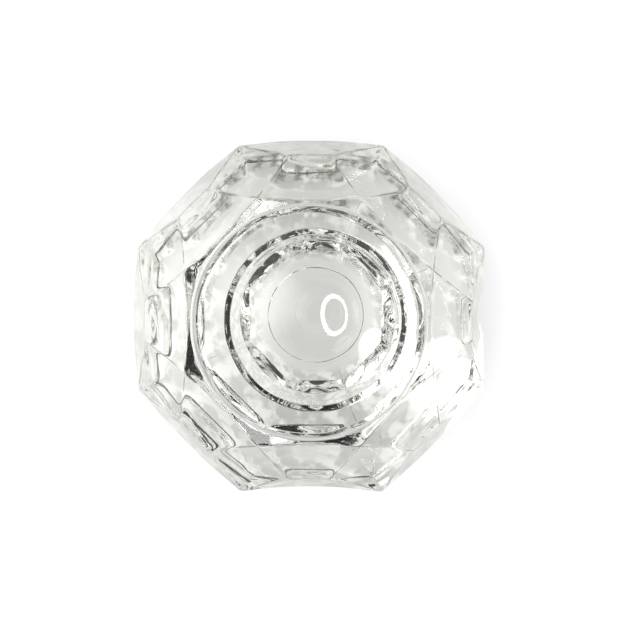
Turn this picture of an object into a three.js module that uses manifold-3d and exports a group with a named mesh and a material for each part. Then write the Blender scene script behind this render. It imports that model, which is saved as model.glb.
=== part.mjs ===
// A small pressed-glass dish that holds liquid or powder at a manicure table.
// It is one piece of clear glass: an eight-sided, gem-cut body, a round collar with a soft lip,
// a smooth bowl sunk into it, and under the foot a shallow round recess with a dome in its middle.
// Millimetres, +Z up. The origin is the middle of the foot, on the surface that the dish stands on.

import * as THREE from 'three';
import { ConvexGeometry } from 'three/addons/geometries/ConvexGeometry.js';
import { mergeVertices } from 'three/addons/utils/BufferGeometryUtils.js';
import Module from 'manifold-3d';

// Width of the body
const sideCount = 8;
const acrossBelt = 46; // between two opposite sides, where the dish is widest
const acrossCorners = 48.6; // between two opposite corners there, which are rounded off

// Heights, stacked from the foot up
const baseHeight = 16.9; // foot to the belt, the widest place
const panelHeight = 4.8; // belt to the top of a side panel
const crownHeight = 3.65; // top of a side panel to the shoulder
const collarHeight = 2.65; // shoulder to the top of the lip

// Facets
const footAcrossFlats = 29.2; // the eight-sided foot
const panelDraft = 1.6; // a side panel leans in this much by its top
const kiteFoot = 0.3; // belt up to the lower point of a kite facet
const crownGap = 0.65; // from the collar out to where a crown facet meets the shoulder
const starGap = 0.3; // from the collar out to where a star facet meets the shoulder
const starLength = 2.25; // from the collar out to the outer point of a star facet

// Collar and lip
const mouthRadius = 10.65; // the opening, inside the lip
const collarWidth = 4.05; // from the opening to the outside of the collar
const collarDraft = 0.95; // the collar is this much slimmer at its top
const lipOuterRound = 0.25;
const lipInnerRound = 1.2;

// Bowl: a steep wall down to the knee, then a cone that runs into the round bottom
const floorThickness = 12.5; // foot to the lowest point of the bowl
const kneeInset = 0.65; // the wall comes in this much from the opening to the knee
const coneSlope = 52.5; // degrees from level
const bottomRound = 11.0; // radius of the ball that ends the cone
const bowlOffset = 1.0; // the bowl stands this far off the middle of the body, towards a corner

// Underside
const footRim = 5.0; // from a flat of the foot in to the round recess
const recessDepth = 0.3;
const domeBorder = 0.9; // from the edge of the recess in to the dome
const domeDepth = 1.05; // the dome's crown above the recess

// Fineness of the round surfaces
const roundSteps = 64;
const bottomSteps = 8;
const innerLipSteps = 5;
const outerLipSteps = 2;
const domeSteps = 6;

// The cutting shapes stand this far proud of the faces that they cut through.
const cutMargin = 0.02;

// Places that follow from the sizes above
const halfStep = Math.PI / sideCount;
const beltRadius = acrossBelt / 2;
const panelTopRadius = beltRadius - panelDraft;
const footRadius = footAcrossFlats / 2;
const panelTopHeight = baseHeight + panelHeight;
const shoulderHeight = panelTopHeight + crownHeight;
const lipHeight = shoulderHeight + collarHeight;
const collarRadius = mouthRadius + collarWidth;
const crownRadius = collarRadius + crownGap;
const starRadius = collarRadius + starGap;
const starPoint = collarRadius + starLength;
const recessRadius = footRadius - footRim;
const domeRadius = recessRadius - domeBorder;

// A straight line in a plane through the axis, as a height that changes with radius.
function lineThrough(radiusA, heightA, radiusB, heightB) {
	const slope = (heightB - heightA) / (radiusB - radiusA);
	return { slope, rise: heightA - slope * radiusA };
}

function heightOn(line, radius) {
	return line.rise + line.slope * radius;
}

function radiusOn(line, height) {
	return (height - line.rise) / line.slope;
}

// The line in which a facet leaves its own middle plane and meets its neighbour, half a step round.
function edgeOf(facetLine) {
	return { slope: facetLine.slope * Math.cos(halfStep), rise: facetLine.rise };
}

// One corner for each side of the body, all at one radius and height.
function cornerRing(radius, height, firstAngle) {
	return Array.from({ length: sideCount }, (_, side) => {
		const angle = firstAngle + side * 2 * halfStep;
		return new THREE.Vector3(radius * Math.cos(angle), radius * Math.sin(angle), height);
	});
}

// Two corners for each side, where the level edge of a side facet ends at the facets half a step round.
// The level edge lies at edgeRadius, and the facets beside it pass through cornerRadius at that height.
function pairedRing(edgeRadius, cornerRadius, height) {
	const aside = (cornerRadius - edgeRadius * Math.cos(halfStep)) / Math.sin(halfStep);
	const radius = Math.hypot(edgeRadius, aside);
	const angle = Math.atan2(aside, edgeRadius);
	return [...cornerRing(radius, height, angle), ...cornerRing(radius, height, -angle)];
}

// The gem-cut body. Side panels face along 0, 45, 90 ... degrees. A kite facet stands over each corner
// of the belt. The crown has a broad facet over each panel and a small star facet over each corner,
// and the base has a broad facet under each panel.
function bodyGeometry() {
	const panelLine = lineThrough(beltRadius, baseHeight, panelTopRadius, panelTopHeight);
	const crownLine = lineThrough(panelTopRadius, panelTopHeight, crownRadius, shoulderHeight);
	const starHeight = heightOn(edgeOf(crownLine), starPoint);
	const kiteHeight = baseHeight + kiteFoot;
	const kitePoint = radiusOn(edgeOf(panelLine), kiteHeight);
	const kiteLine = lineThrough(kitePoint, kiteHeight, starPoint, starHeight);

	return new ConvexGeometry([
		...pairedRing(crownRadius, starRadius, shoulderHeight),
		...cornerRing(starPoint, starHeight, halfStep),
		...pairedRing(panelTopRadius, radiusOn(kiteLine, panelTopHeight), panelTopHeight),
		...cornerRing(kitePoint, kiteHeight, halfStep),
		...cornerRing(beltRadius / Math.cos(halfStep), baseHeight, halfStep),
		...cornerRing(footRadius / Math.cos(halfStep), 0, halfStep),
	]);
}

// A round shape about the body that takes off its sharpest corners: at the belt it is acrossCorners wide,
// and it narrows downwards as the body's corners do.
function cornerLimitGeometry() {
	const cut = beltRadius / Math.cos(halfStep) - acrossCorners / 2;
	const lowerEdge = lineThrough(
		footRadius / Math.cos(halfStep) - cut,
		0,
		beltRadius / Math.cos(halfStep) - cut,
		baseHeight,
	);
	return turnedGeometry([
		{ radius: 0, height: -cutMargin },
		{ radius: radiusOn(lowerEdge, -cutMargin), height: -cutMargin },
		{ radius: acrossCorners / 2, height: baseHeight },
		{ radius: acrossCorners / 2, height: lipHeight },
		{ radius: 0, height: lipHeight },
	]);
}

// The points of an arc that rounds one corner between its two neighbours.
function roundedCorner(corner, before, after, radius, steps) {
	const back = before.clone().sub(corner).normalize();
	const ahead = after.clone().sub(corner).normalize();
	const halfAngle = Math.acos(back.dot(ahead)) / 2;
	const inward = back.clone().add(ahead).normalize();
	const centre = corner.clone().addScaledVector(inward, radius / Math.sin(halfAngle));
	const tangent = radius / Math.tan(halfAngle);
	const start = corner.clone().addScaledVector(back, tangent).sub(centre);
	const end = corner.clone().addScaledVector(ahead, tangent).sub(centre);
	const sweep = Math.atan2(start.cross(end), start.dot(end));
	return Array.from({ length: steps + 1 }, (_, step) => {
		const spoke = start.clone().rotateAround(new THREE.Vector2(), (sweep * step) / steps);
		return spoke.add(centre);
	});
}

// A solid turned round the axis. Each corner of its profile is a radius and a height,
// with a rounding radius and a number of steps where the corner is rounded.
function turnedGeometry(corners) {
	const at = corners.map(({ radius, height }) => new THREE.Vector2(radius, height));
	const profile = corners.flatMap(({ round, steps }, index) =>
		round ? roundedCorner(at[index], at[index - 1], at[index + 1], round, steps) : [at[index]],
	);
	return new THREE.LatheGeometry(profile, roundSteps).rotateX(Math.PI / 2);
}

// Profile corners along a cap of a ball whose lowest or highest point is on the axis, from the axis out.
// Upright is 1 for a cap that opens upwards, like a cup, and -1 for one that opens downwards.
function ballCap(ballRadius, poleHeight, widestAngle, upright, steps) {
	return Array.from({ length: steps + 1 }, (_, step) => {
		const angle = (widestAngle * step) / steps;
		return {
			radius: ballRadius * Math.sin(angle),
			height: poleHeight + upright * ballRadius * (1 - Math.cos(angle)),
		};
	});
}

// The round collar, from inside the body up to the lip
function collarGeometry() {
	return turnedGeometry([
		{ radius: 0, height: baseHeight },
		{ radius: collarRadius, height: baseHeight },
		{ radius: collarRadius, height: shoulderHeight },
		{ radius: collarRadius - collarDraft, height: lipHeight, round: lipOuterRound, steps: outerLipSteps },
		{ radius: 0, height: lipHeight },
	]);
}

// The space of the bowl, flared at the top by the rounding of the lip
function bowlGeometry() {
	const widestAngle = THREE.MathUtils.degToRad(coneSlope);
	const bottom = ballCap(bottomRound, floorThickness, widestAngle, 1, bottomSteps);
	const coneStart = bottom.at(-1);
	const kneeRadius = mouthRadius - kneeInset;
	const kneeHeight = coneStart.height + (kneeRadius - coneStart.radius) * Math.tan(widestAngle);
	const top = lipHeight + cutMargin;
	return turnedGeometry([
		...bottom,
		{ radius: kneeRadius, height: kneeHeight },
		{ radius: mouthRadius, height: top, round: lipInnerRound, steps: innerLipSteps },
		{ radius: collarRadius, height: top },
		{ radius: collarRadius, height: lipHeight + collarHeight },
		{ radius: 0, height: lipHeight + collarHeight },
	]).translate(bowlOffset * Math.cos(halfStep), bowlOffset * Math.sin(halfStep), 0);
}

// The recess under the foot
function recessGeometry() {
	return turnedGeometry([
		{ radius: 0, height: -recessDepth },
		{ radius: recessRadius, height: -recessDepth },
		{ radius: recessRadius, height: recessDepth },
		{ radius: 0, height: recessDepth },
	]);
}

// The dome in the recess: the cap of a ball, with its lower part closed inside the recess
function domeGeometry() {
	const ballRadius = (domeRadius ** 2 + domeDepth ** 2) / (2 * domeDepth);
	const widestAngle = Math.asin(domeRadius / ballRadius);
	const cap = ballCap(ballRadius, recessDepth + domeDepth, widestAngle, -1, domeSteps);
	return turnedGeometry([
		{ radius: 0, height: 0 },
		{ radius: domeRadius, height: 0 },
		...cap.reverse(),
	]);
}

const wasm = await Module();
wasm.setup();

// A closed geometry as a solid. Triangles that shrink to nothing at the axis are left out.
function solidFrom(geometry) {
	const bare = geometry.clone();
	bare.deleteAttribute('normal');
	bare.deleteAttribute('uv');
	const merged = mergeVertices(bare);
	const corners = merged.index.array;
	const triVerts = [];
	for (let first = 0; first < corners.length; first += 3) {
		const [a, b, c] = corners.slice(first, first + 3);
		if (a !== b && b !== c && c !== a) triVerts.push(a, b, c);
	}
	return new wasm.Manifold(
		new wasm.Mesh({
			numProp: 3,
			vertProperties: merged.attributes.position.array,
			triVerts: new Uint32Array(triVerts),
		}),
	);
}

function geometryFrom(solid) {
	const { vertProperties, triVerts } = solid.getMesh();
	const geometry = new THREE.BufferGeometry();
	geometry.setAttribute('position', new THREE.BufferAttribute(vertProperties, 3));
	geometry.setIndex(new THREE.BufferAttribute(triVerts, 1));
	geometry.computeVertexNormals();
	return geometry;
}

function makeDish() {
	const solid = solidFrom(bodyGeometry())
		.intersect(solidFrom(cornerLimitGeometry()))
		.add(solidFrom(collarGeometry()))
		.subtract(solidFrom(bowlGeometry()))
		.subtract(solidFrom(recessGeometry()))
		.subtract(solidFrom(domeGeometry()));
	const clearGlass = new THREE.MeshStandardMaterial({
		color: 0xeef3f1,
		roughness: 0.05,
		metalness: 0,
		transparent: true,
		opacity: 0.35,
		flatShading: true,
	});
	const dish = new THREE.Mesh(geometryFrom(solid), clearGlass);
	dish.name = 'dish';
	return dish;
}

const salonDish = new THREE.Group();
salonDish.name = 'salon_dish';
salonDish.add(makeDish());

export default salonDish;
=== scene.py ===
"""A small pressed-glass dish for nail liquid or powder, seen from above on a white table.

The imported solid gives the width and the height. This script builds the glass itself: pressed facets with
soft edges and shallow sink marks, a round collar, a fire-polished bowl, and the moulded underside with its
dome. Sizes are in millimetres where nothing else is said. The scene is in metres, +Z up, in the frame of
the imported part.
"""

import math

import bpy
import numpy as np
from mathutils import Matrix, Vector


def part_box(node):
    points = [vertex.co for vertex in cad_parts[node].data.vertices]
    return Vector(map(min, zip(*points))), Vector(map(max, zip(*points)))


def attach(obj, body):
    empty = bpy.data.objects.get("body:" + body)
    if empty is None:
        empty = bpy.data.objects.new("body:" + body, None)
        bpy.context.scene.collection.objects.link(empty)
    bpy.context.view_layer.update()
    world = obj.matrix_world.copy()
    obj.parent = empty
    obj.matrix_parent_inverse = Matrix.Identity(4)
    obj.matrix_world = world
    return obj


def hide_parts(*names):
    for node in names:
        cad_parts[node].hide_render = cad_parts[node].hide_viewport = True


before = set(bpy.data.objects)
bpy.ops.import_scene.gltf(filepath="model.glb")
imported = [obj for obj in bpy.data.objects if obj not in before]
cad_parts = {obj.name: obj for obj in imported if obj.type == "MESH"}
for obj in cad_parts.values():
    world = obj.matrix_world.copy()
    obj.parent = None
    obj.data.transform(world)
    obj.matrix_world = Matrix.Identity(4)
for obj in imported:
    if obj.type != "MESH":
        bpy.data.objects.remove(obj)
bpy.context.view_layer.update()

MM = 0.001
SIDES = 8
HALF_STEP = math.pi / SIDES
TINY = 1e-6

# ---------------------------------------------------------------------------------------------
# The shape of the dish

box_low, box_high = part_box("dish")
LIP_HEIGHT = box_high.z / MM

# How far each side stands out, or in, near the belt, from the +X side on round. The middle of a bulge
# lies a little above the belt.
SIDE_BULGES = [-0.1, 0.55, 0.55, 0.55, 0.55, 0.4, -0.6, 0.3]
BULGE_REACH = 8.8
BULGE_RISE = 1.5

PANEL_RADIUS = (box_high.x - box_low.x) / 2 / MM - max(SIDE_BULGES)
BELT_HEIGHT = 16.9
PANEL_TOP_RADIUS = 20.8
PANEL_TOP_HEIGHT = 21.7
KITE_CORNER_RADIUS = 24.3
KITE_CORNER_HEIGHT = 17.2
NODE_RADIUS = 16.95
SHOULDER_HEIGHT = 25.35

MOUTH_RADIUS = 10.65
COLLAR_RADIUS = 14.7
COLLAR_DRAFT = 0.95
COLLAR_LEAN = COLLAR_DRAFT / (LIP_HEIGHT - SHOULDER_HEIGHT)
CROWN_GAP = 0.65
CROWN_RADIUS = COLLAR_RADIUS + CROWN_GAP
STAR_GAP = 0.3
STAR_RADIUS = COLLAR_RADIUS + STAR_GAP
LIP_DIP = 0.06
LIP_OUTER_ROUND = 0.12
LIP_INNER_ROUND = 0.3
MOUTH_CHAMFER = 0.75
CHAMFER_DEPTH = 0.72

BOWL_OFFSET = 1.0
BOWL_OFFSET_X = BOWL_OFFSET * math.cos(HALF_STEP)
BOWL_OFFSET_Y = BOWL_OFFSET * math.sin(HALF_STEP)
KNEE_RADIUS = 10.0
KNEE_ROUND = 0.55
CONE_SLOPE = math.radians(52.5)
BOWL_FLOOR = 12.5
BOWL_ROUND = 11.0

FOOT_RADIUS = 14.6
FOOT_RIM = 5.0
RECESS_RADIUS = FOOT_RADIUS - FOOT_RIM
RECESS_DEPTH = 0.3
DOME_RADIUS = 8.7
DOME_DEPTH = 1.05

# The soft edge of the recess: how far out from its wall, and the share of its depth there. The flat of
# the foot begins where the last width ends.
RECESS_EDGE = [(-0.15, 1.0), (-0.05, 0.8), (0.0, 0.4), (0.08, 0.1)]
RECESS_EDGE_WIDTH = 0.25

# Sink marks, the shallow hollows in the facets: depth, radius and height of the middle, and reach
PANEL_SINK = (0.07, (22.0, 18.8), 8.5)
KITE_SINK = (0.05, (21.0, 20.7), 6.0)
LOWER_SINK = (0.3, (18.4, 8.5), 9.5)
STAR_SINK = (0.05, (15.6, 25.0), 3.5)
NO_SINK = (0.0, (0.0, 0.0), 1.0)

# A small old chip at the belt, near the middle of the +X side
CHIP_PLACE = (22.3, 0.6, 17.4)
CHIP_REACH = 2.4
CHIP_DEPTH = 0.45

# How sharp the edges between the facets are, and the fillet under the collar: a larger value is sharper
EDGE_SHARPNESS = 22.0
COLLAR_FILLET = 17.0

# The wavy mould face below the belt
WAVY_TOP = 16.0
WAVY_FADE = 2.0
WAVY_DEPTH = 0.06
WAVY_LENGTH = 5.0
WAVY_SEED = 8

# The slow wobble of the collar and the bowl, which were never quite round. It fades out at the shoulder
# and towards the middle of the bowl.
WOBBLE_DEPTH = 0.03
WOBBLE_LENGTH = 7.0
WOBBLE_SEED = 14
WOBBLE_BLEND = 0.5
WOBBLE_CALM_RADIUS = 5.0

# A ripple is the sum of WAVE_COUNT plane waves, each with WAVE_SPREAD waves to the stated length.
WAVE_COUNT = 9
WAVE_SPREAD = (0.7, 1.4)

# ---------------------------------------------------------------------------------------------
# How the mesh is laid out: columns round the dish, and the spacing or number of its rows

COLUMNS = 352
TURNS = np.arange(COLUMNS) * 2 * math.pi / COLUMNS
FACET_ROW = 0.27
COLLAR_ROW = 0.3
LIP_ROW = 0.35
CHAMFER_ROW = 0.12
BOWL_ROW = 0.35
RECESS_ROW = 0.5
LIP_ARC_STEPS = 9
ARC_STEPS = 6
BOWL_STEPS = 34
DOME_STEPS = 22

# The outside is found along rays from a point on the axis. The rays point at this path of radii and
# heights, from the flat of the foot past the belt and the shoulder to the collar.
CENTRE_HEIGHT = 11.0
CENTRE = np.array([0, 0, CENTRE_HEIGHT])
RAY_PATH = [(RECESS_RADIUS + RECESS_EDGE_WIDTH, 0.0), (15.0, 0.0), (23.5, 17.0), (21.9, 21.3),
            (17.3, 24.4), (15.5, 25.15), (14.7, 25.35), (14.35, 26.2)]
SOLVER_ROUNDS = 6

# A hollow is measured across its facet, and a ray may meet the facet aslant. This is the least cosine
# of that angle that counts.
LEAST_FACING = 0.3

# Only rays that rise more than this, as a sine, can meet the collar. Its own round rows begin this far
# above the shoulder.
COLLAR_RAYS_FROM = 0.3
COLLAR_START = 1.1

# ---------------------------------------------------------------------------------------------
# The surface of the glass

GLASS_TINT = (0.990, 0.992, 0.942, 1)
GLASS_IOR = 1.52
POLISH = 0.008
CLOUD_SIZE = 2.4
MOULD_ROUGHNESS = 0.03
UNDER_ROUGHNESS = 0.04

# Where the zones of the surface begin or end, as the two ends of a soft step
OUTSIDE_FROM = (12.6, 13.6)
COLLAR_FROM = (SHOULDER_HEIGHT - 0.25, SHOULDER_HEIGHT + 0.15)
LOWER_UP_TO = (BELT_HEIGHT - 1.3, BELT_HEIGHT - 0.1)
UNDER_UP_TO = (2.8, 3.4)
UNDER_OUT_TO = (RECESS_RADIUS - 0.3, RECESS_RADIUS)

# Painted shade: broken darker lines along the edges between facets, in place of the dark lines that the
# glass's small edges show by refraction
EDGE_LINE = 0.045
EDGE_SHADE_COLOUR = (0.22, 0.22, 0.21, 1)
EDGE_BREAKUP_SIZE = 2.2
EDGE_BREAKUP = (0.42, 0.62)
EDGE_LEAST = 0.05

# Painted shade on the outer part of the foot's flat: a dark mottled band where the foot meets the table,
# which grows towards +Y; the band is also made matt. "Aside" is the distance from the middle of the nearest
# side.
CONTACT_SHADE_UP_TO = (0.1, 0.2)
CONTACT_SHADE_OUT_FROM = (13.7, 14.0)
CONTACT_SHADE_OUT_TO = (14.7, 15.2)
CONTACT_SHADE_Y_FROM = (-4.0, 7.0)
CONTACT_SHADE_ASIDE_TO = (3.6, 5.4)
CONTACT_SHADE_SIZE = 1.1
CONTACT_SHADE_EDGE = 0.37
CONTACT_SHADE_SOFTNESS = 0.22
CONTACT_SHADE_COLOUR = (0.17, 0.155, 0.135, 1)
CONTACT_SHADE_PALE = (0.45, 0.43, 0.38, 1)
CONTACT_SHADE_GRAIN_SIZE = 0.5
CONTACT_SHADE_GRAIN = (0.4, 0.6)
FOOT_MATT_ROUGHNESS = 0.45

# Small relief: the skin of the mould faces, streaks that run round, and scattered pits
ORANGE_PEEL_SIZE = 1.3
ORANGE_PEEL = 0.012
STREAKS_ROUND = 2.5
STREAKS_PER_MM = 4.0
STREAK_DEPTH = 0.001
PIT_DEPTH = 0.03
UNDER_PIT_SPACING = 1.7
UNDER_PIT_RADIUS = 0.16
LOWER_PIT_SPACING = 2.9
LOWER_PIT_RADIUS = 0.22

# ---------------------------------------------------------------------------------------------
# The white table. The camera sees it as white paper with the dish's shadow. Through the glass it shows
# painted light and shade: a dimmer painted shadow under the dish, painted light to the left and right where
# the glass gathers light, two soft painted pools of light and many small painted flecks, light and dark, and
# far away it is plain.

FLOOR_METRES = 6.0
FLOOR_DROP = 0.02
PAPER_COLOUR = (0.9, 0.9, 0.9, 1)
PAPER_GLOW = 0.72
TABLE_DIM = 0.69
TABLE_GATHERED = 0.25
GATHERED_FROM = 3.0
GATHERED_TO = 15.0
POOLS = [
    # x, y, radius, soft edge, brightness
    (12.4, -6.4, 3.0, 1.0, 0.5),
    (-8.7, 3.0, 2.4, 6.0, 0.16),
]
FLECK_SIZE = 3.0
FLECK_STEP = (0.45, 0.59)
FLECK_DARK = -0.14
FLECK_GLOW = 0.17
FLECKS_OUT_FROM = (11.0, 14.0)
TABLE_FAR = 0.8
FAR_FROM = 60.0
FAR_TO = 100.0

# ---------------------------------------------------------------------------------------------
# The room and its lights. Angles are azimuth and elevation in degrees.

# The lower part of the room is bright, and higher up the walls on one side than on the other. It turns
# dark as the cosine of the angle to ROOM_LEAN rises from ROOM_FROM to ROOM_TO.
ROOM_LEAN = (45, 78)
ROOM_FROM = 0.16
ROOM_TO = 0.36
ROOM_BRIGHT = 1.0
ROOM_DARK = 0.02

SOFTBOXES = [
    # azimuth, elevation, half width in degrees, soft edge in degrees, radiance
    (136, 30, 15, 5, 2.0),
    (188, 22, 11, 5, 1.5),
]

# The oval ring lamp, placed by the slopes X / Z and Y / Z of the way up to it. Its hole and its soft edge
# are shares of its radii.
RING_LAMP_CENTRE = (-0.47, -0.056)
RING_LAMP_RADII = (0.40, 0.57)
RING_LAMP_HOLE = 0.77
RING_LAMP_EDGE = 0.04
RING_LAMP_RADIANCE = 10.0
LEAST_RISE = 0.001

# The soft lamp overhead, in metres and watts
OVERHEAD_SIZE = 0.7
OVERHEAD_HEIGHT = 0.8
OVERHEAD_POWER = 8.0

# ---------------------------------------------------------------------------------------------
# The camera. It leans a few degrees from straight above, towards +X and +Y. The photo is square, shows
# the belt at this scale, and has the middle of the belt at this pixel.

TILT_X = 1.84
TILT_Y = 2.9
CAMERA_METRES = 0.28
TARGET_HEIGHT = 15.0
SENSOR_WIDTH = 36.0
PHOTO_PX = 620
PX_PER_MM = 7.68
BELT_PX_X = 310.9
BELT_PX_Y = 318.9


# ---------------------------------------------------------------------------------------------
# The outer surface: facets as planes, blended softly at their edges

def line_through(radius_a, height_a, radius_b, height_b):
    slope = (height_b - height_a) / (radius_b - radius_a)
    return slope, height_a - slope * radius_a


def facet_families():
    """Each ring of eight facets: profile normal, offset, first angle, and its sink mark."""
    crown_slope, crown_rise = line_through(PANEL_TOP_RADIUS, PANEL_TOP_HEIGHT, CROWN_RADIUS, SHOULDER_HEIGHT)
    belt = (PANEL_RADIUS, BELT_HEIGHT)
    panel_top = (PANEL_TOP_RADIUS, PANEL_TOP_HEIGHT)
    node = (NODE_RADIUS, crown_rise + crown_slope * NODE_RADIUS * math.cos(HALF_STEP))
    lines = [
        (belt, panel_top, 0, PANEL_SINK),
        ((KITE_CORNER_RADIUS, KITE_CORNER_HEIGHT), node, HALF_STEP, KITE_SINK),
        (panel_top, (CROWN_RADIUS, SHOULDER_HEIGHT), 0, NO_SINK),
        (belt, (FOOT_RADIUS, 0), 0, LOWER_SINK),
        (node, (STAR_RADIUS, SHOULDER_HEIGHT), HALF_STEP, STAR_SINK),
    ]
    families = []
    for start, end, first_angle, sink in lines:
        along = np.subtract(end, start)
        normal = np.array([along[1], -along[0]]) / np.linalg.norm(along)
        if normal[0] < 0:
            normal = -normal
        families.append((normal, float(normal @ start), first_angle, sink))
    return families


def facet_table():
    """All facets: unit normals, plane offsets, and the depths, middles and reaches of the sink marks."""
    rows = []
    for normal, offset, first_angle, (depth, middle, reach) in facet_families():
        for side in range(SIDES):
            angle = first_angle + 2 * HALF_STEP * side
            cos, sin = math.cos(angle), math.sin(angle)
            rows.append(((normal[0] * cos, normal[0] * sin, normal[1]), offset, depth,
                         (middle[0] * cos, middle[0] * sin, middle[1]), reach))
    depth, middle, reach = NO_SINK
    for up, height in ((1, SHOULDER_HEIGHT), (-1, 0.0)):
        rows.append(((0, 0, up), height, depth, (middle[0], 0, middle[1]), reach))
    return [np.array(column, float) for column in zip(*rows)]


FACETS = facet_table()


def outer_radii(directions):
    """Distance from the centre point to the soft-edged body along each direction, and the facet weights."""
    normals, offsets = FACETS[:2]
    along = directions @ normals.T
    gap = offsets - normals @ CENTRE
    with np.errstate(divide="ignore"):
        length = np.where(along > TINY, gap / along, np.inf).min(axis=1)
    for _ in range(SOLVER_ROUNDS):
        level = EDGE_SHARPNESS * (length[:, None] * along - gap)
        top = level.max(axis=1, keepdims=True)
        share = np.exp(level - top)
        total = share.sum(axis=1, keepdims=True)
        value = (top + np.log(total))[:, 0] / EDGE_SHARPNESS
        share /= total
        length -= value / (share * along).sum(axis=1)
    return length, share


def waves(points, wavelength, seed):
    """A smooth random ripple, mostly between -1 and 1, from plane waves in random directions."""
    rng = np.random.default_rng(seed)
    total = np.zeros(len(points))
    for _ in range(WAVE_COUNT):
        direction = rng.normal(size=3)
        direction *= 2 * math.pi / wavelength / np.linalg.norm(direction) * rng.uniform(*WAVE_SPREAD)
        total += np.sin(points @ direction + rng.uniform(0, 2 * math.pi))
    return total / math.sqrt(WAVE_COUNT)


def patch(points, middle, reach):
    """1 at the middle of a round patch, falling to 0 at its reach."""
    near = ((points - np.array(middle)) ** 2).sum(axis=1) / reach ** 2
    return np.clip(1 - near, 0, None)


def pressed_hollow(points, share):
    """How far the real surface lies inside the plain facets: sink marks, bulges, chip and waves."""
    _, _, depths, middles, reaches = FACETS
    away = ((points[:, None, :] - middles[None]) ** 2).sum(axis=2)
    hollow = (share * depths * np.clip(1 - away / reaches ** 2, 0, None)).sum(axis=1)
    for side, bulge in enumerate(SIDE_BULGES):
        angle = 2 * HALF_STEP * side
        middle = (PANEL_RADIUS * math.cos(angle), PANEL_RADIUS * math.sin(angle), BELT_HEIGHT + BULGE_RISE)
        hollow -= bulge * patch(points, middle, BULGE_REACH)
    hollow += CHIP_DEPTH * np.sqrt(patch(points, CHIP_PLACE, CHIP_REACH))
    lower = np.clip((WAVY_TOP - points[:, 2]) / WAVY_FADE, 0, 1)
    return hollow + WAVY_DEPTH * lower * waves(points, WAVY_LENGTH, WAVY_SEED)


def spaced(start, end, step):
    """Points from start up to, but without, end."""
    start, end = np.array(start, float), np.array(end, float)
    count = max(1, round(float(np.linalg.norm(end - start)) / step))
    return [tuple(start + (end - start) * i / count) for i in range(count)]


def outer_rows():
    """Rows of the faceted outside, from the flat of the foot to the collar, as an array of points."""
    path = []
    for start, end in zip(RAY_PATH, RAY_PATH[1:]):
        path += spaced(start, end, FACET_ROW)
    path.append(RAY_PATH[-1])
    path = np.array(path)
    tilt = np.arctan2(path[:, 1] - CENTRE_HEIGHT, path[:, 0])
    tilt_grid, turn_grid = np.meshgrid(tilt, TURNS, indexing="ij")
    directions = np.stack([np.cos(tilt_grid) * np.cos(turn_grid),
                           np.cos(tilt_grid) * np.sin(turn_grid),
                           np.sin(tilt_grid)], axis=-1).reshape(-1, 3)
    length, share = outer_radii(directions)
    facing = np.maximum((share * (directions @ FACETS[0].T)).sum(axis=1), LEAST_FACING)
    length = length - pressed_hollow(CENTRE + directions * length[:, None], share) / facing

    # The collar, a cone, stands on the shoulder with a soft fillet. Only steep rays can meet it.
    level, rise = np.hypot(directions[:, 0], directions[:, 1]), directions[:, 2]
    reach = COLLAR_RADIUS + COLLAR_LEAN * (SHOULDER_HEIGHT - CENTRE_HEIGHT)
    collar = reach / (level + COLLAR_LEAN * rise)
    both = np.logaddexp(COLLAR_FILLET * length, COLLAR_FILLET * collar) / COLLAR_FILLET
    length = np.where(rise > COLLAR_RAYS_FROM, both, length)
    return (CENTRE + directions * length[:, None]).reshape(len(path), COLUMNS, 3)


# ---------------------------------------------------------------------------------------------
# The round surfaces: collar, lip and bowl, and the underside

def rounded_corner(corner, before, after, radius, steps):
    """Points of the arc that rounds a profile corner between its two neighbours."""
    corner, before, after = (np.array(point, float) for point in (corner, before, after))
    back = (before - corner) / np.linalg.norm(before - corner)
    ahead = (after - corner) / np.linalg.norm(after - corner)
    half = math.acos(float(back @ ahead)) / 2
    inward = (back + ahead) / np.linalg.norm(back + ahead)
    centre = corner + inward * radius / math.sin(half)
    start = corner + back * radius / math.tan(half) - centre
    end = corner + ahead * radius / math.tan(half) - centre
    sweep = math.atan2(start[0] * end[1] - start[1] * end[0], float(start @ end))
    points = []
    for step in range(steps + 1):
        angle = sweep * step / steps
        points.append((centre[0] + start[0] * math.cos(angle) - start[1] * math.sin(angle),
                       centre[1] + start[0] * math.sin(angle) + start[1] * math.cos(angle)))
    return points


def ring_rows(profile):
    """Rows of a round surface from its radius and height points."""
    profile = np.array(profile)
    return np.stack([profile[:, :1] * np.cos(TURNS),
                     profile[:, :1] * np.sin(TURNS),
                     np.repeat(profile[:, 1:], COLUMNS, axis=1)], axis=-1)


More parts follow.
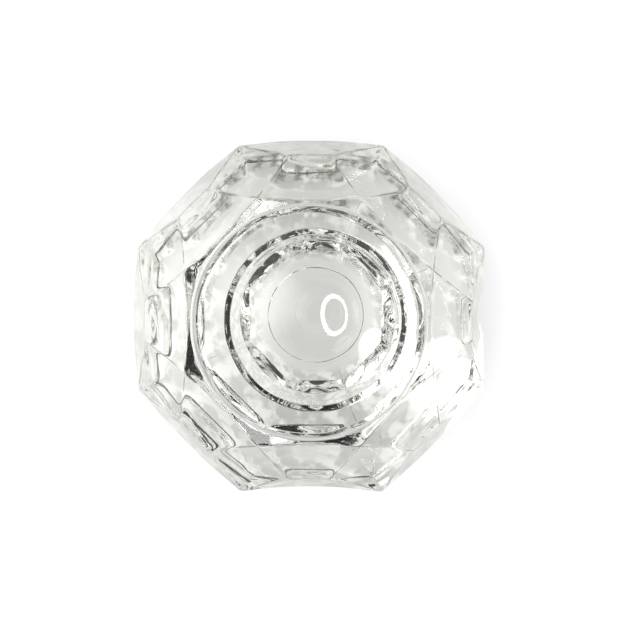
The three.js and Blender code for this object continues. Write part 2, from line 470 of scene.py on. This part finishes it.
def collar_and_bowl_profile():
    """From just above the outside rows, over the lip and down to the middle of the bowl.

    The second result is the share of the bowl's sideways offset that each point takes: none on the
    collar, all of it in the bowl, and a part on the top of the lip.
    """
    start = (COLLAR_RADIUS - COLLAR_LEAN * COLLAR_START, SHOULDER_HEIGHT + COLLAR_START)
    outer = (COLLAR_RADIUS - COLLAR_DRAFT, LIP_HEIGHT)
    inner = (MOUTH_RADIUS + MOUTH_CHAMFER, LIP_HEIGHT - LIP_DIP)
    throat = (MOUTH_RADIUS, LIP_HEIGHT - CHAMFER_DEPTH)
    ball_edge = BOWL_ROUND * math.sin(CONE_SLOPE)
    ball_rise = BOWL_FLOOR + BOWL_ROUND * (1 - math.cos(CONE_SLOPE))
    ball = (ball_edge, ball_rise)
    knee = (KNEE_RADIUS, ball_rise + (KNEE_RADIUS - ball_edge) * math.tan(CONE_SLOPE))
    outer_arc = rounded_corner(outer, start, inner, LIP_OUTER_ROUND, LIP_ARC_STEPS)
    inner_arc = rounded_corner(inner, outer, throat, LIP_INNER_ROUND, ARC_STEPS)
    throat_arc = rounded_corner(throat, inner, knee, LIP_INNER_ROUND, ARC_STEPS)
    knee_arc = rounded_corner(knee, throat, ball, KNEE_ROUND, ARC_STEPS)

    profile = spaced(start, outer_arc[0], COLLAR_ROW)[1:] + outer_arc
    profile += spaced(outer_arc[-1], inner_arc[0], LIP_ROW)[1:] + inner_arc
    profile += spaced(inner_arc[-1], throat_arc[0], CHAMFER_ROW)[1:] + throat_arc
    profile += spaced(throat_arc[-1], knee_arc[0], BOWL_ROW)[1:] + knee_arc
    profile += spaced(knee_arc[-1], ball, BOWL_ROW)[1:]
    for step in range(BOWL_STEPS):
        angle = CONE_SLOPE * (1 - step / BOWL_STEPS)
        profile.append((BOWL_ROUND * math.sin(angle), BOWL_FLOOR + BOWL_ROUND * (1 - math.cos(angle))))
    lip_end, mouth_start = outer_arc[-1][0], inner_arc[0][0]
    shares = [min(max((lip_end - radius) / (lip_end - mouth_start), 0), 1) for radius, _ in profile]
    return profile, shares


def underside_profile():
    """From the middle of the dome out to the edge of the round recess."""
    ball = (DOME_RADIUS ** 2 + DOME_DEPTH ** 2) / (2 * DOME_DEPTH)
    widest = math.asin(DOME_RADIUS / ball)
    profile = []
    for step in range(1, DOME_STEPS):
        angle = widest * step / DOME_STEPS
        profile.append((ball * math.sin(angle), RECESS_DEPTH + DOME_DEPTH - ball * (1 - math.cos(angle))))
    edge = [(RECESS_RADIUS + out, RECESS_DEPTH * share) for out, share in RECESS_EDGE]
    return profile + spaced((DOME_RADIUS, RECESS_DEPTH), edge[0], RECESS_ROW) + edge


# ---------------------------------------------------------------------------------------------
# The mesh of the dish

def closed_mesh(name, rows, first_point, last_point):
    """A mesh of rows of points, closed by one point before the first row and one after the last."""
    count, columns = rows.shape[:2]
    vertices = np.concatenate([[first_point], rows.reshape(-1, 3), [last_point]]) * MM
    here = np.arange(columns)
    beside = (here + 1) % columns
    quads = []
    for row in range(count - 1):
        low, high = 1 + row * columns, 1 + (row + 1) * columns
        quads.append(np.stack([low + here, low + beside, high + beside, high + here], axis=1))
    faces = np.concatenate(quads).tolist()
    top = 1 + (count - 1) * columns
    last = len(vertices) - 1
    faces += [(0, int(1 + j), int(1 + i)) for i, j in zip(here, beside)]
    faces += [(last, int(top + i), int(top + j)) for i, j in zip(here, beside)]
    mesh = bpy.data.meshes.new(name)
    mesh.from_pydata(vertices.tolist(), [], faces)
    mesh.validate()
    mesh.shade_smooth()
    return mesh


def wobbled(rows, share):
    """The rows with each point moved in or out by the slow wobble, times its share."""
    points = rows.reshape(-1, 3)
    reach = np.hypot(points[:, 0], points[:, 1])
    move = WOBBLE_DEPTH * waves(points, WOBBLE_LENGTH, WOBBLE_SEED) * share.reshape(-1)
    move *= np.clip(reach / WOBBLE_CALM_RADIUS, 0, 1) / np.maximum(reach, TINY)
    moved = points.copy()
    moved[:, 0] += points[:, 0] * move
    moved[:, 1] += points[:, 1] * move
    return moved.reshape(rows.shape)


def make_dish():
    under = ring_rows(underside_profile())
    outside = outer_rows()
    outside = wobbled(outside, np.clip(outside[:, :, 2] - SHOULDER_HEIGHT + WOBBLE_BLEND, 0, 1))
    outside[:, :, 2] = np.maximum(outside[:, :, 2], 0)
    bowl_profile, shares = collar_and_bowl_profile()
    bowl = ring_rows(bowl_profile)
    bowl[:, :, 0] += BOWL_OFFSET_X * np.array(shares)[:, None]
    bowl[:, :, 1] += BOWL_OFFSET_Y * np.array(shares)[:, None]
    bowl = wobbled(bowl, np.ones(bowl.shape[:2]))
    rows = np.concatenate([under, outside, bowl])
    dome_top = (0, 0, RECESS_DEPTH + DOME_DEPTH)
    bowl_bottom = (BOWL_OFFSET_X, BOWL_OFFSET_Y, BOWL_FLOOR)
    dish = bpy.data.objects.new("dish_glass", closed_mesh("dish_glass", rows, dome_top, bowl_bottom))
    bpy.context.scene.collection.objects.link(dish)
    return dish


# ---------------------------------------------------------------------------------------------
# The glass material

class Graph:
    """Short calls that make and link shader nodes."""

    def __init__(self, tree):
        self.tree = tree

    def add(self, kind, **settings):
        made = self.tree.nodes.new(kind)
        for name, value in settings.items():
            setattr(made, name, value)
        return made

    def put(self, socket, value):
        if isinstance(value, bpy.types.NodeSocket):
            self.tree.links.new(value, socket)
        else:
            socket.default_value = value

    def put_all(self, sockets, values):
        for socket, value in zip(sockets, values):
            self.put(socket, value)

    def math(self, operation, *values):
        made = self.add("ShaderNodeMath", operation=operation)
        self.put_all(made.inputs, values)
        return made.outputs[0]

    def vector(self, operation, *values):
        made = self.add("ShaderNodeVectorMath", operation=operation)
        self.put_all(made.inputs, values)
        return made.outputs["Value" if operation in ("LENGTH", "DOT_PRODUCT") else "Vector"]

    def split(self, place):
        made = self.add("ShaderNodeSeparateXYZ")
        self.put(made.inputs[0], place)
        return made.outputs

    def joined(self, *parts):
        made = self.add("ShaderNodeCombineXYZ")
        self.put_all(made.inputs, parts)
        return made.outputs[0]

    def total(self, *values):
        result = values[0]
        for value in values[1:]:
            result = self.math("ADD", result, value)
        return result

    def product(self, *values):
        result = values[0]
        for value in values[1:]:
            result = self.math("MULTIPLY", result, value)
        return result

    def step(self, value, low, high, low_result=0.0, high_result=1.0):
        """A smooth step from low_result to high_result as the value goes from low to high."""
        made = self.add("ShaderNodeMapRange", interpolation_type="SMOOTHSTEP")
        self.put(made.inputs["Value"], value)
        self.put(made.inputs["From Min"], low)
        self.put(made.inputs["From Max"], high)
        self.put(made.inputs["To Min"], low_result)
        self.put(made.inputs["To Max"], high_result)
        return made.outputs["Result"]

    def fade(self, value, low, high):
        """A smooth step from 1 down to 0 as the value goes from low to high."""
        return self.step(value, low, high, 1.0, 0.0)

    def noise(self, place, size, detail=2.0):
        """Smooth noise from 0 to 1 with features about one size across, in the place's own unit."""
        made = self.add("ShaderNodeTexNoise")
        self.put(made.inputs["Vector"], place)
        self.put(made.inputs["Scale"], 1 / size)
        self.put(made.inputs["Detail"], detail)
        return made.outputs["Fac"]

    def spots(self, place, spacing, radius):
        """1 at scattered points, falling to 0 one radius away."""
        made = self.add("ShaderNodeTexVoronoi", feature="F1")
        self.put(made.inputs["Vector"], place)
        self.put(made.inputs["Scale"], 1 / spacing)
        return self.fade(made.outputs["Distance"], 0.0, radius / spacing)

    def mix(self, share, first, second):
        made = self.add("ShaderNodeMixShader")
        self.put_all(made.inputs, (share, first, second))
        return made.outputs[0]

    def colour(self, share, first, second):
        made = self.add("ShaderNodeMix", data_type="RGBA")
        self.put(made.inputs["Factor"], share)
        self.put(made.inputs["A"], first)
        self.put(made.inputs["B"], second)
        return made.outputs["Result"]


def folded_place(graph, x, y, reach):
    """How far a point lies out along the middle of its own side, and how far aside from there."""
    wide, tall = graph.math("ABSOLUTE", x), graph.math("ABSOLUTE", y)
    slant = graph.math("MULTIPLY", graph.math("ADD", wide, tall), math.sqrt(0.5))
    ahead = graph.math("MAXIMUM", graph.math("MAXIMUM", wide, tall), slant)
    aside_square = graph.math("SUBTRACT", graph.math("POWER", reach, 2.0), graph.math("POWER", ahead, 2.0))
    return ahead, graph.math("SQRT", graph.math("MAXIMUM", aside_square, 0.0))


def facet_edges(graph, ahead, aside, height):
    """1 along the edges between facets, 0 elsewhere."""
    folded = graph.joined(ahead, aside, height)
    levels = []
    for normal, offset, first_angle, _ in facet_families():
        # The nearest facet of each ring, and for those that meet each other its neighbour too
        turns = (first_angle,) if first_angle or normal[1] > 0 else (0, 2 * HALF_STEP)
        for turn in turns:
            plane = (normal[0] * math.cos(turn), normal[0] * math.sin(turn), normal[1])
            levels.append(graph.math("SUBTRACT", graph.vector("DOT_PRODUCT", folded, plane), offset))
    top = levels[0]
    for level in levels[1:]:
        top = graph.math("MAXIMUM", top, level)
    # An edge is where two planes lie within a line's width of the surface.
    near = [graph.step(graph.math("SUBTRACT", level, top), -EDGE_LINE, -EDGE_LINE / 3) for level in levels]
    return graph.step(graph.total(*near), 1.0, 2.0)


def glass_material():
    """Clear pressed glass: polished in the bowl, wavy and a little matt below, matt on the foot with a
    painted shade band, and painted dark lines along the facet edges.
    """
    material = bpy.data.materials.new("clear_glass")
    material.use_nodes = True
    graph = Graph(material.node_tree)
    shader = material.node_tree.nodes["Principled BSDF"]
    shader.inputs["Transmission Weight"].default_value = 1.0
    shader.inputs["IOR"].default_value = GLASS_IOR

    # The place on the dish in millimetres, its height, its distance from the axis and its side
    coords = graph.add("ShaderNodeTexCoord").outputs["Object"]
    place = graph.vector("MULTIPLY", coords, (1 / MM, 1 / MM, 1 / MM))
    x, y, height = graph.split(place)
    reach = graph.vector("LENGTH", graph.vector("MULTIPLY", place, (1, 1, 0)))
    ahead, aside = folded_place(graph, x, y, reach)

    # The zones of the surface
    outside = graph.step(reach, *OUTSIDE_FROM)
    lower = graph.product(outside, graph.fade(height, *LOWER_UP_TO))
    collar = graph.product(outside, graph.step(height, *COLLAR_FROM))
    under = graph.product(graph.fade(reach, *UNDER_OUT_TO), graph.fade(height, *UNDER_UP_TO))
    foot = graph.product(
        graph.fade(height, *CONTACT_SHADE_UP_TO),
        graph.step(reach, *CONTACT_SHADE_OUT_FROM),
        graph.fade(reach, *CONTACT_SHADE_OUT_TO),
        graph.step(y, *CONTACT_SHADE_Y_FROM),
        graph.fade(aside, *CONTACT_SHADE_ASIDE_TO),
    )

    # Painted shade: a dark mottled band on the foot's flat where it meets the table; the same mask makes it
    # matt
    mottle = graph.noise(place, CONTACT_SHADE_SIZE, detail=5.0)
    shaded_matt_foot = graph.product(foot, graph.step(mottle, CONTACT_SHADE_EDGE, CONTACT_SHADE_EDGE + CONTACT_SHADE_SOFTNESS))
    shade_grain = graph.step(graph.noise(place, CONTACT_SHADE_GRAIN_SIZE, detail=3.0), *CONTACT_SHADE_GRAIN)
    painted_contact_shade = graph.colour(shade_grain, CONTACT_SHADE_COLOUR, CONTACT_SHADE_PALE)
    # Painted shade: broken dark lines along the facet edges, mixed into the glass's tint
    edge_breakup = graph.step(graph.noise(place, EDGE_BREAKUP_SIZE, detail=3.0), *EDGE_BREAKUP, EDGE_LEAST, 1.0)
    edges = graph.product(facet_edges(graph, ahead, aside, height), outside,
                          graph.fade(height, *COLLAR_FROM), edge_breakup)
    edge_shaded_tint = graph.colour(edges, GLASS_TINT, EDGE_SHADE_COLOUR)
    graph.put(shader.inputs["Base Color"], graph.colour(shaded_matt_foot, edge_shaded_tint, painted_contact_shade))

    cloud = graph.noise(place, CLOUD_SIZE, detail=3.0)
    roughness = graph.total(
        POLISH,
        graph.product(cloud, POLISH),
        graph.product(lower, cloud, MOULD_ROUGHNESS),
        graph.product(under, cloud, UNDER_ROUGHNESS),
        graph.product(shaded_matt_foot, FOOT_MATT_ROUGHNESS),
    )
    graph.put(shader.inputs["Roughness"], roughness)

    # The streaks come from the turned faces of the mould, so they are long round the dish and narrow.
    round_x, round_y = (
        graph.math("MULTIPLY", graph.math("DIVIDE", part, reach), STREAKS_ROUND) for part in (x, y)
    )
    across = graph.math("MULTIPLY", graph.math("ADD", height, reach), STREAKS_PER_MM)
    streaks = graph.noise(graph.joined(round_x, round_y, across), 1.0)
    mould_faces = graph.math("ADD", lower, under)
    relief = graph.total(
        graph.product(graph.noise(place, ORANGE_PEEL_SIZE), mould_faces, ORANGE_PEEL),
        graph.product(streaks, collar, STREAK_DEPTH),
        graph.product(graph.spots(place, UNDER_PIT_SPACING, UNDER_PIT_RADIUS), under, -PIT_DEPTH),
        graph.product(graph.spots(place, LOWER_PIT_SPACING, LOWER_PIT_RADIUS), lower, -PIT_DEPTH),
    )
    bump = graph.add("ShaderNodeBump")
    bump.inputs["Strength"].default_value = 1.0
    bump.inputs["Distance"].default_value = MM
    graph.put(bump.inputs["Height"], relief)
    graph.put(shader.inputs["Normal"], bump.outputs["Normal"])
    return material


# ---------------------------------------------------------------------------------------------
# The stage

def make_floor():
    """The white table, which isn't part of the dish."""
    bpy.ops.mesh.primitive_plane_add(size=FLOOR_METRES, location=(0, 0, -FLOOR_DROP * MM))
    floor = bpy.context.object
    floor.name = "floor"
    material = bpy.data.materials.new("floor")
    material.use_nodes = True
    graph = Graph(material.node_tree)
    shader = material.node_tree.nodes["Principled BSDF"]
    shader.inputs["Base Color"].default_value = PAPER_COLOUR
    shader.inputs["Roughness"].default_value = 1.0
    shader.inputs["Specular IOR Level"].default_value = 0.0
    path = graph.add("ShaderNodeLightPath")
    paper = graph.add("ShaderNodeEmission")
    table = graph.add("ShaderNodeEmission")

    coords = graph.add("ShaderNodeTexCoord").outputs["Object"]
    place = graph.vector("MULTIPLY", coords, (1 / MM, 1 / MM, 0))
    away = graph.vector("LENGTH", place)
    aside = graph.math("ABSOLUTE", graph.split(place)["X"])
    # Painted light and shade, seen only through the glass: a dimmer painted shadow under the dish, painted
    # light to the left and right, in two pools, and in light and dark flecks
    near = graph.step(aside, GATHERED_FROM, GATHERED_TO, TABLE_DIM, TABLE_DIM + TABLE_GATHERED)
    for pool_x, pool_y, radius, edge, glow in POOLS:
        from_pool = graph.vector("LENGTH", graph.vector("SUBTRACT", place, (pool_x, pool_y, 0)))
        near = graph.total(near, graph.step(from_pool, radius, radius + edge, glow, 0.0))
    flecks = graph.step(graph.noise(place, FLECK_SIZE, detail=5.0), *FLECK_STEP, FLECK_DARK, FLECK_GLOW)
    near = graph.total(near, graph.product(flecks, graph.step(away, *FLECKS_OUT_FROM)))
    change = graph.math("SUBTRACT", TABLE_FAR, near)
    far = graph.step(away, FAR_FROM, FAR_TO)
    graph.put(table.inputs["Strength"], graph.math("MULTIPLY_ADD", change, far, near))

    seen = graph.math("MULTIPLY", path.outputs["Is Camera Ray"], PAPER_GLOW)
    through = graph.math("MAXIMUM", path.outputs["Is Glossy Ray"], path.outputs["Is Transmission Ray"])
    direct = graph.mix(seen, shader.outputs[0], paper.outputs[0])
    result = graph.mix(through, direct, table.outputs[0])
    graph.put(material.node_tree.nodes["Material Output"].inputs["Surface"], result)
    floor.data.materials.append(material)


def unit_vector(azimuth, elevation):
    azimuth, elevation = math.radians(azimuth), math.radians(elevation)
    return (math.cos(azimuth) * math.cos(elevation), math.sin(azimuth) * math.cos(elevation),
            math.sin(elevation))


def make_world():
    """The room that the glass shows: bright low down and dark above, with softboxes and a ring lamp."""
    world = bpy.data.worlds.new("studio")
    world.use_nodes = True
    bpy.context.scene.world = world
    graph = Graph(world.node_tree)
    background = world.node_tree.nodes["Background"]
    background.inputs["Color"].default_value = (1.0, 1.0, 1.0, 1.0)

    toward = graph.vector("NORMALIZE", graph.add("ShaderNodeTexCoord").outputs["Generated"])
    lean = graph.vector("DOT_PRODUCT", toward, unit_vector(*ROOM_LEAN))
    total = graph.step(lean, ROOM_FROM, ROOM_TO, ROOM_BRIGHT, ROOM_DARK)
    for azimuth, elevation, half, edge, radiance in SOFTBOXES:
        near = graph.vector("DOT_PRODUCT", toward, unit_vector(azimuth, elevation))
        rim, core = math.cos(math.radians(half + edge)), math.cos(math.radians(half))
        total = graph.total(total, graph.step(near, rim, core, 0.0, radiance))

    x, y, z = graph.split(toward)
    rise = graph.math("MAXIMUM", z, LEAST_RISE)
    squares = []
    for part, middle, radius in zip((x, y), RING_LAMP_CENTRE, RING_LAMP_RADII):
        slope = graph.math("DIVIDE", part, rise)
        off = graph.math("DIVIDE", graph.math("SUBTRACT", slope, middle), radius)
        squares.append(graph.math("MULTIPLY", off, off))
    reach = graph.math("SQRT", graph.total(*squares))
    lamp = graph.step(reach, 1.0, 1.0 + RING_LAMP_EDGE, RING_LAMP_RADIANCE, 0.0)
    hole = graph.step(reach, RING_LAMP_HOLE - RING_LAMP_EDGE, RING_LAMP_HOLE)
    # The lamp shows in the polish of the glass, not in the many inner images of the facets.
    mirrored = graph.add("ShaderNodeLightPath").outputs["Is Reflection Ray"]
    total = graph.total(total, graph.product(lamp, hole, mirrored))
    graph.put(background.inputs["Strength"], total)


def make_lights():
    """A large soft lamp overhead, which lights the table only. The glass shows the room round it."""
    data = bpy.data.lights.new("overhead", "AREA")
    data.size = OVERHEAD_SIZE
    data.energy = OVERHEAD_POWER
    lamp = bpy.data.objects.new("overhead", data)
    lamp.location = (0, 0, OVERHEAD_HEIGHT)
    bpy.context.scene.collection.objects.link(lamp)
    lamp.visible_camera = False
    lamp.visible_glossy = False
    lamp.visible_transmission = False


def make_camera():
    """The photo's view: its scale, its slight lean and its place of the dish."""
    data = bpy.data.cameras.new("camera")
    camera = bpy.data.objects.new("camera", data)
    bpy.context.scene.collection.objects.link(camera)
    bpy.context.scene.camera = camera
    target = Vector((0, 0, TARGET_HEIGHT * MM))
    back = Vector((math.tan(math.radians(TILT_X)), math.tan(math.radians(TILT_Y)), 1)).normalized()
    camera.location = target + back * CAMERA_METRES
    seen_width = PHOTO_PX / PX_PER_MM * MM
    data.sensor_width = SENSOR_WIDTH
    data.lens = SENSOR_WIDTH * CAMERA_METRES / seen_width
    right = Vector((0, 1, 0)).cross(back).normalized()
    up = back.cross(right)
    camera.rotation_mode = "QUATERNION"
    camera.rotation_quaternion = Matrix((right, up, back)).transposed().to_quaternion()
    belt = Vector((0, 0, BELT_HEIGHT * MM)) - camera.location
    depth = -belt.dot(back) * data.sensor_width / data.lens
    data.shift_x = belt.dot(right) / depth - (BELT_PX_X / PHOTO_PX - 0.5)
    data.shift_y = belt.dot(up) / depth + (BELT_PX_Y / PHOTO_PX - 0.5)


bpy.context.scene.view_settings.view_transform = "Standard"
bpy.context.scene.cycles.max_bounces = 24
bpy.context.scene.cycles.transmission_bounces = 24
bpy.context.scene.cycles.glossy_bounces = 12
bpy.context.scene.cycles.diffuse_bounces = 3
bpy.context.scene.cycles.caustics_refractive = False
bpy.context.scene.cycles.caustics_reflective = False
bpy.context.scene.cycles.sample_clamp_indirect = 10.0

dish = make_dish()
dish.data.materials.append(glass_material())
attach(dish, "root")
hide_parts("dish")
make_floor()
make_world()
make_lights()
make_camera()
